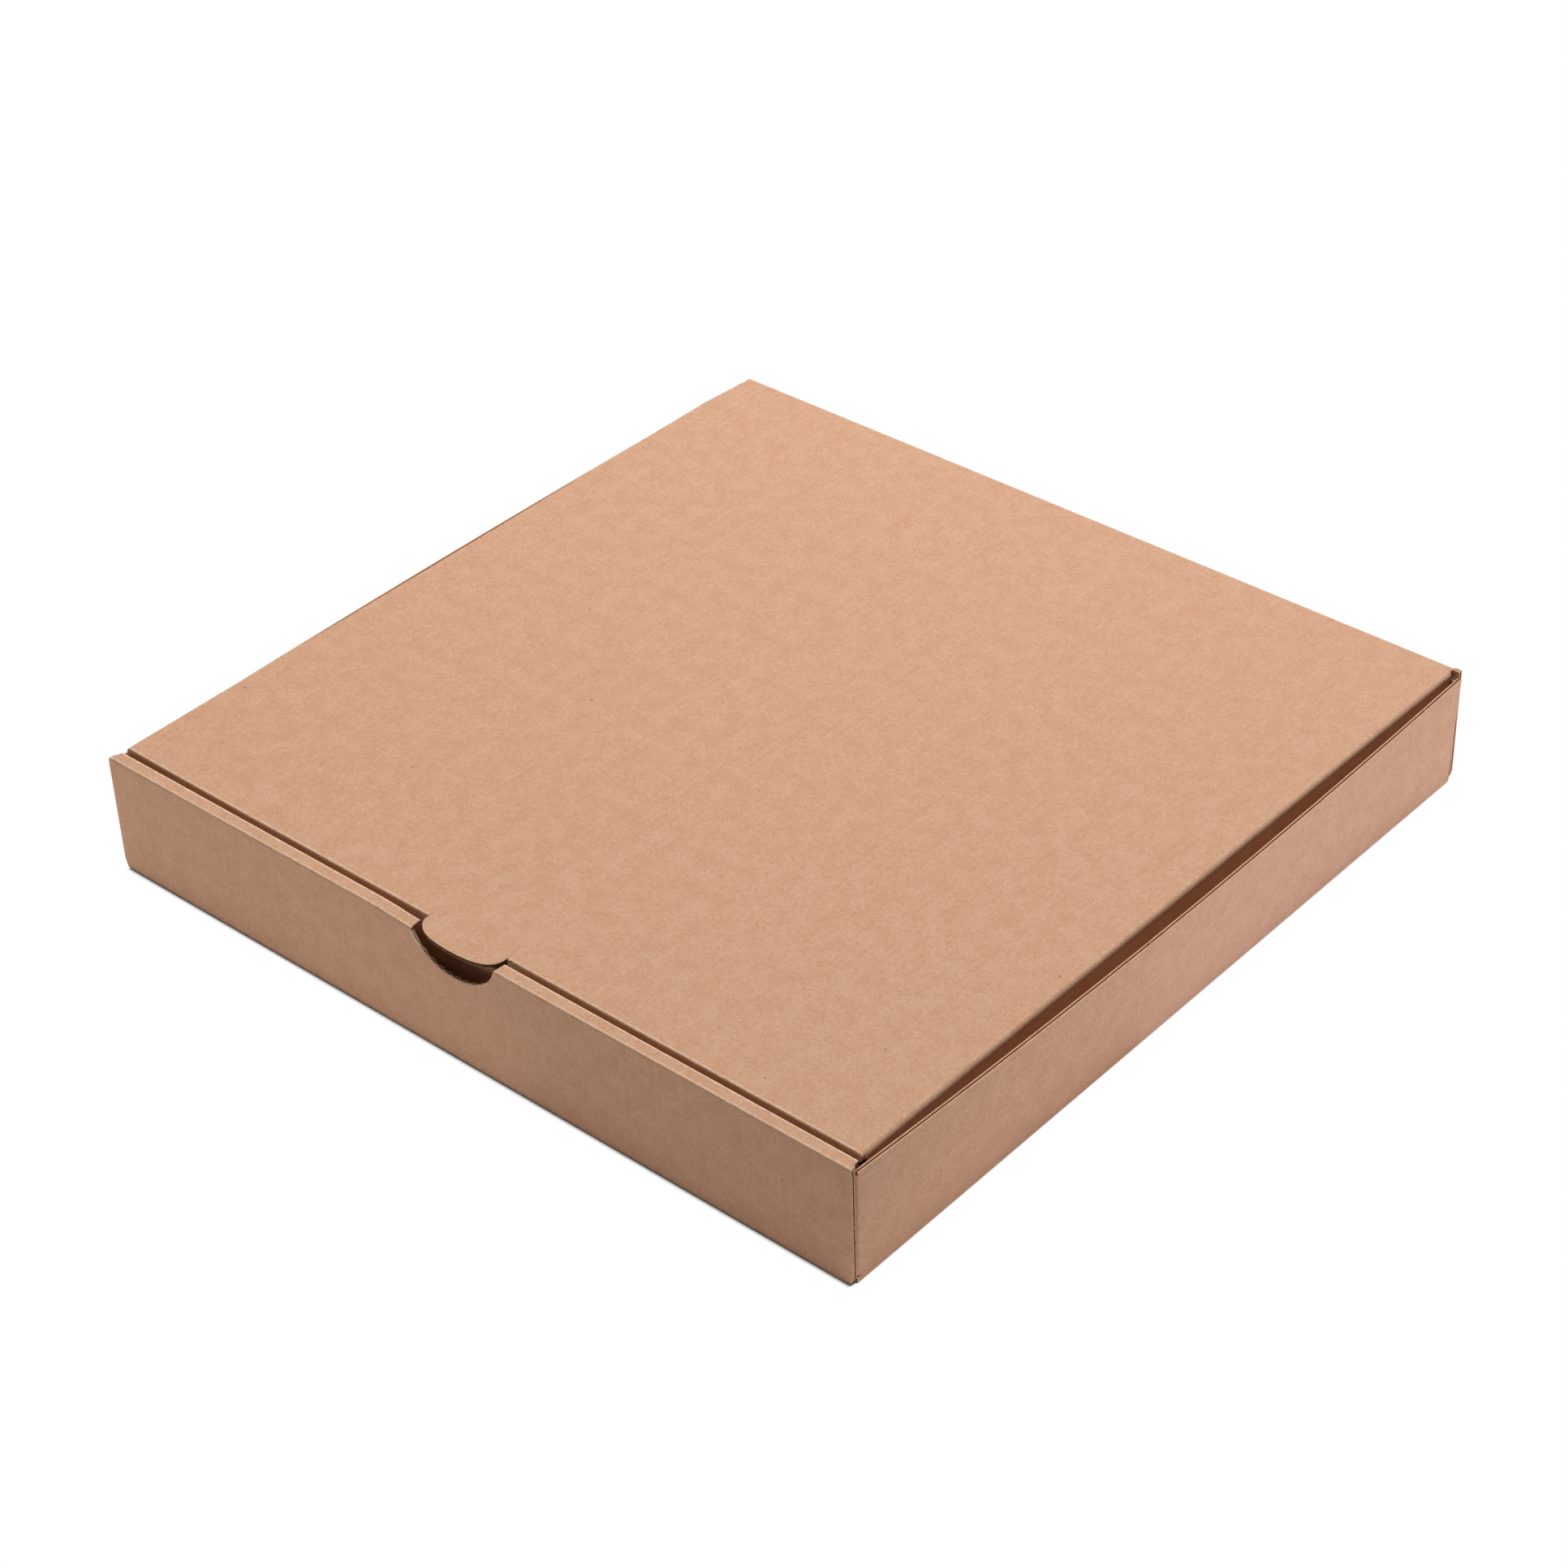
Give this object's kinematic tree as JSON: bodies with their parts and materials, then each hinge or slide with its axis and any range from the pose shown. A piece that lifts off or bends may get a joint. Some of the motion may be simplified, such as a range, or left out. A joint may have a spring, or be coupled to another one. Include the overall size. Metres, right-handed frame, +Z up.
{
  "type": "pizza box",
  "caption": "Flat square folding carton of bare brown fluted board, with a hinged tuck-in lid, a rolled front wall, a thumb notch and a thumb tab.",
  "frame": {"origin": "middle of the underside, on the surface that the box stands on", "axes": "+Z up through the lid, -Y out of the front wall with the thumb notch, +X to the right seen from the front"},
  "size_m": [0.3104, 0.3035, 0.0432],
  "materials": {
    "kraft_board": "matte"
  },
  "bodies": {
    "tray": {"tray": "kraft_board"},
    "lid": {"lid": "kraft_board"}
  },
  "joints": [
    {"name": "lid_hinge", "type": "hinge", "parent": "tray", "child": "lid", "pos_m": [0, 0.15101, 0.04291], "axis": [-1, 0, 0], "range_deg": [0, 187]}
  ]
}
